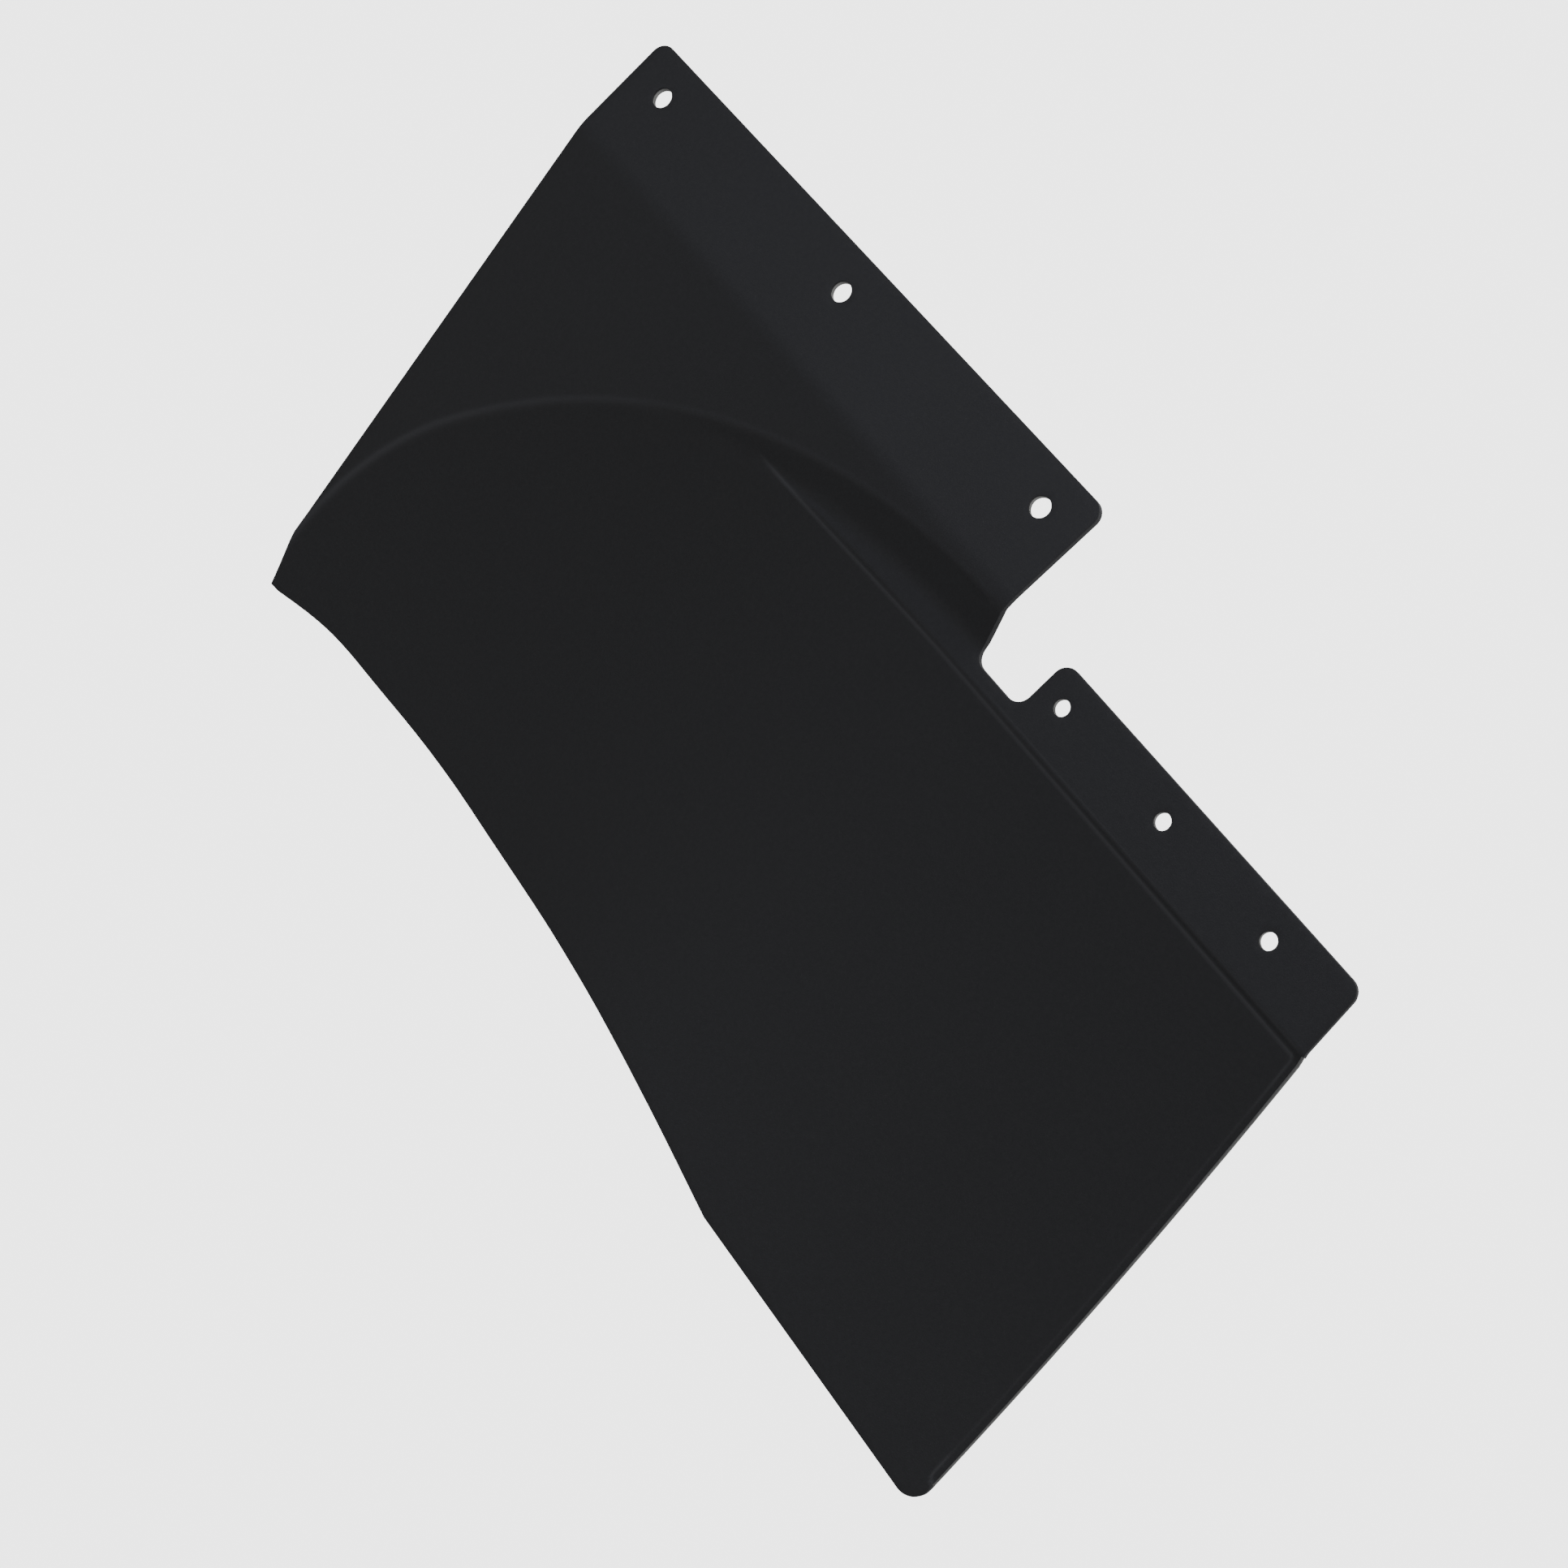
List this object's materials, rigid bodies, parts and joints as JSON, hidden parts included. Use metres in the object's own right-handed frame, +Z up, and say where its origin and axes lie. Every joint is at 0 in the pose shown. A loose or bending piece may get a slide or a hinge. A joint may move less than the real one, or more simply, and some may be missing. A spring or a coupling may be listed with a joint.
{
  "type": "mud flap",
  "caption": "Upright moulded mud flap with two stepped bolting flanges along one side, a curved ridge, a dished panel and a strip along its slanted bottom edge.",
  "frame": {"origin": "on the upper flange's back face, on its bolt line, midway between its lower two bolt holes", "axes": "+Z up along the upper flange's long edge, +Y out of the upper flange's back face, away from the front, +X from the panel towards the flanges"},
  "size_m": [0.3925, 0.127, 0.6715],
  "materials": {
    "moulding": "matte",
    "edge_strip": "matte",
    "sleeve": "satin"
  },
  "bodies": {
    "root": {"flap_moulding": "moulding", "bottom_edge_strip": "edge_strip", "upper_bolt_sleeve_1": "sleeve", "upper_bolt_sleeve_2": "sleeve", "upper_bolt_sleeve_3": "sleeve", "lower_bolt_sleeve_1": "sleeve", "lower_bolt_sleeve_2": "sleeve", "lower_bolt_sleeve_3": "sleeve"}
  },
  "joints": []
}
